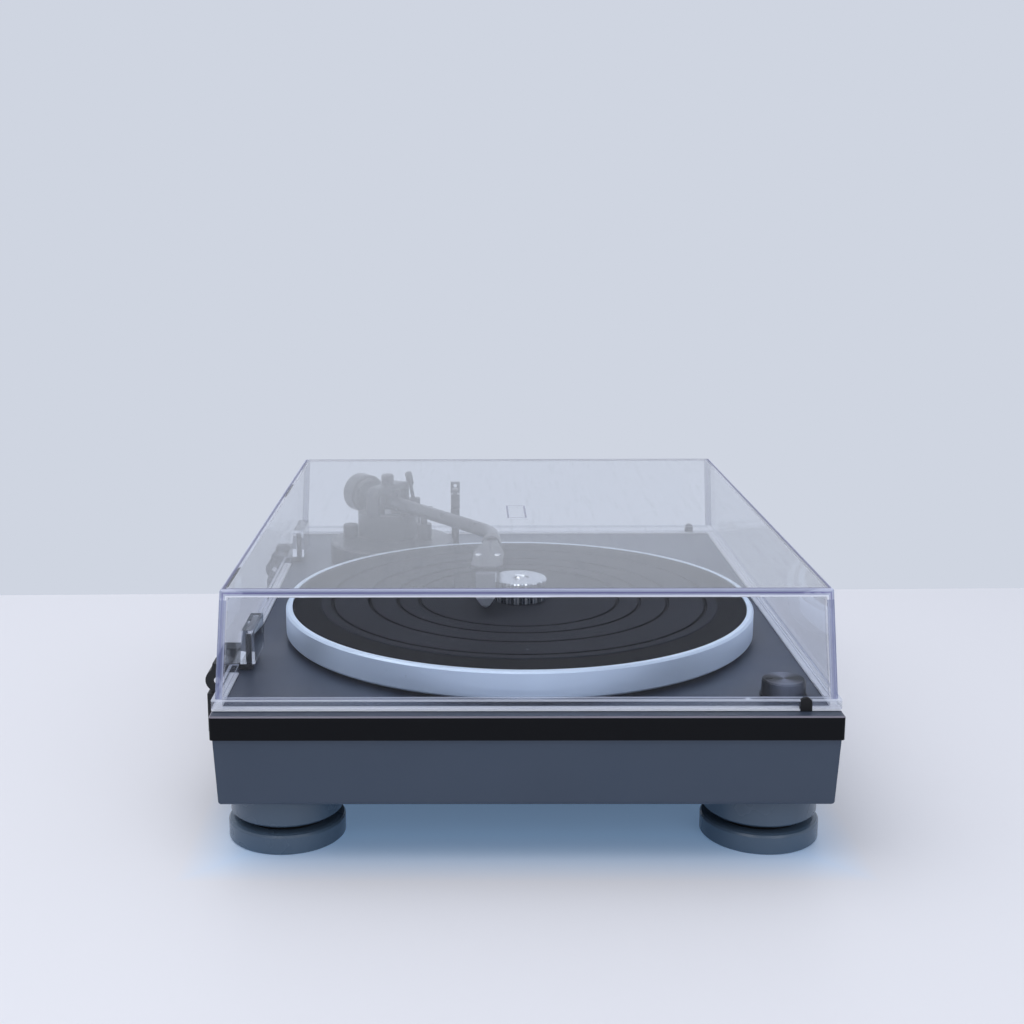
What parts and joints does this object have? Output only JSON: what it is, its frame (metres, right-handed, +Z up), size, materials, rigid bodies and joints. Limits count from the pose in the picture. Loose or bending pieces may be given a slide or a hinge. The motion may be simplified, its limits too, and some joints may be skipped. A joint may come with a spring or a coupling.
{
  "type": "turntable record player",
  "caption": "Direct-drive turntable with a flat plinth on four round feet, a J-shaped tonearm and a hinged clear dust cover.",
  "frame": {"origin": "on the surface that the feet stand on, under the middle of the object's whole outline, 7.55 mm behind the middle of the plinth because the hinges stand out behind it", "axes": "+Z up, +X towards the deck's right side (the tonearm's side), -Y towards its front (the speed knob's side), +Y towards the hinges"},
  "size_m": [0.45, 0.3672, 0.157],
  "materials": {
    "plinth_black": "satin",
    "plinth_grey": "fine texture",
    "base_black": "matte",
    "foot_black": "semi gloss",
    "rubber_black": "matte",
    "steel": "plain",
    "brass": "machined",
    "copper_coils": "enamelled wire",
    "circuit_board": "soldered",
    "lens": "clear",
    "arm_black": "satin",
    "gold_plate": "plated",
    "platter_aluminium": "satin",
    "mat_rubber": "finely textured",
    "polished_steel": "polished",
    "magnet": "sintered",
    "adapter_aluminium": "turned",
    "tube_black": "gloss",
    "headshell_black": "satin",
    "cartridge_black": "moulded",
    "stylus_black": "moulded",
    "collar_metal": "knurled",
    "weight_black": "satin",
    "dial_black": "satin",
    "knob_black": "spun",
    "switch_white": "matte",
    "cover_clear": "clear, polished"
  },
  "bodies": {
    "root": {"top_plate": "plinth_black", "lower_body": "plinth_grey", "bottom_cover": "base_black", "foot_pad_front_left": "foot_black", "foot_pad_front_right": "foot_black", "foot_pad_rear_left": "foot_black", "foot_pad_rear_right": "foot_black", "foot_neck_front_left": "foot_black", "foot_neck_front_right": "foot_black", "foot_neck_rear_left": "foot_black", "foot_neck_rear_right": "foot_black", "foot_dampers": "rubber_black", "base_screws": "steel", "bearing_housing": "brass", "motor_stator": "copper_coils", "main_board": "circuit_board", "speed_switch": "base_black", "indicator_lens": "lens", "arm_base": "arm_black", "arm_pillar": "arm_black", "bearing_yoke": "arm_black", "yoke_cap": "arm_black", "cue_post": "arm_black", "armrest": "arm_black", "hinge_bracket_left": "base_black", "hinge_bracket_right": "base_black", "hinge_pins": "steel", "rear_panel": "base_black", "rca_jacks": "gold_plate", "ground_post": "steel", "usb_socket": "steel", "power_inlet": "base_black"},
    "platter": {"platter": "platter_aluminium", "platter_mat": "mat_rubber", "spindle": "polished_steel", "rotor_magnet": "magnet", "adapter_45": "adapter_aluminium"},
    "arm_swing": {"gimbal": "arm_black"},
    "tonearm": {"arm_tube": "tube_black", "tilt_axle": "steel", "headshell": "headshell_black", "cartridge": "cartridge_black", "stylus": "stylus_black", "head_screws": "steel"},
    "collar": {"locking_collar": "collar_metal"},
    "counterweight": {"counterweight": "weight_black"},
    "force_dial": {"force_dial": "dial_black"},
    "cue_lever": {"cue_lever": "arm_black", "cue_grip": "rubber_black"},
    "cue_lift": {"cue_platform": "rubber_black"},
    "armrest_clip": {"armrest_clip": "arm_black"},
    "anti_skate": {"anti_skate_dial": "dial_black"},
    "speed_knob": {"speed_knob": "knob_black"},
    "ground_nut": {"ground_nut": "gold_plate"},
    "line_switch": {"line_switch": "switch_white"},
    "hinge_leaves": {"hinge_leaf_left": "base_black", "hinge_leaf_right": "base_black"},
    "cover": {"dust_cover": "cover_clear", "cover_sockets": "cover_clear", "cover_bumpers": "rubber_black"}
  },
  "joints": [
    {"name": "platter_spin", "type": "hinge", "parent": "root", "child": "platter", "pos_m": [-0.053, -0.00855, 0.1], "axis": [0, 0, 1], "continuous": true},
    {"name": "arm_swing", "type": "hinge", "parent": "root", "child": "arm_swing", "pos_m": [0.147, 0.08945, 0.1315], "axis": [0, 0, 1], "range_deg": [0, 52]},
    {"name": "arm_tilt", "type": "hinge", "parent": "arm_swing", "child": "tonearm", "pos_m": [0.147, 0.08945, 0.1315], "axis": [0.5707, -0.8211, 0], "range_deg": [0, 0.86]},
    {"name": "collar_turn", "type": "hinge", "parent": "tonearm", "child": "collar", "pos_m": [0.02793, 0.0067, 0.1315], "axis": [-0.9983, 0.0576, 0], "range_deg": [-30, 0]},
    {"name": "counterweight_turn", "type": "hinge", "parent": "tonearm", "child": "counterweight", "pos_m": [0.147, 0.08945, 0.1315], "axis": [0.8211, 0.5707, 0], "range_deg": [-180, 180]},
    {"name": "force_dial_turn", "type": "hinge", "parent": "tonearm", "child": "force_dial", "pos_m": [0.147, 0.08945, 0.1315], "axis": [0.8211, 0.5707, 0], "range_deg": [-180, 180]},
    {"name": "cue_lever", "type": "hinge", "parent": "root", "child": "cue_lever", "pos_m": [0.1685, 0.06905, 0.124], "axis": [1, 0, 0], "range_deg": [0, 60]},
    {"name": "cue_lift", "type": "slide", "parent": "root", "child": "cue_lift", "axis": [0, 0, -1], "range_m": [0, 0.00305]},
    {"name": "armrest_clip", "type": "hinge", "parent": "root", "child": "armrest_clip", "pos_m": [0.1511, 0.03545, 0.1382], "axis": [0, -1, 0], "range_deg": [0, 90]},
    {"name": "anti_skate_turn", "type": "hinge", "parent": "root", "child": "anti_skate", "pos_m": [0.141, 0.11905, 0.1035], "axis": [0, 0, 1], "range_deg": [-270, 0]},
    {"name": "speed_select", "type": "hinge", "parent": "root", "child": "speed_knob", "pos_m": [-0.191, -0.15605, 0.0889], "axis": [0, 0, 1], "range_deg": [-45, 45]},
    {"name": "ground_nut_turn", "type": "hinge", "parent": "root", "child": "ground_nut", "pos_m": [0.028, 0.16545, 0.056], "axis": [0, 1, 0], "range_deg": [-180, 180]},
    {"name": "line_switch", "type": "slide", "parent": "root", "child": "line_switch", "axis": [1, 0, 0], "range_m": [0, 0.004]},
    {"name": "cover_hinge", "type": "hinge", "parent": "root", "child": "hinge_leaves", "pos_m": [0, 0.17635, 0.0845], "axis": [-1, 0, 0], "range_deg": [0, 60]},
    {"name": "cover_lift_off", "type": "slide", "parent": "hinge_leaves", "child": "cover", "axis": [0, 0, 1], "range_m": [0, 0.03]}
  ],
  "couplings": [
    {"joint": "arm_tilt", "follows": "cue_lever", "ratio": 0.014},
    {"joint": "cue_lift", "follows": "cue_lever", "m_per_rad": 0.0028648}
  ]
}
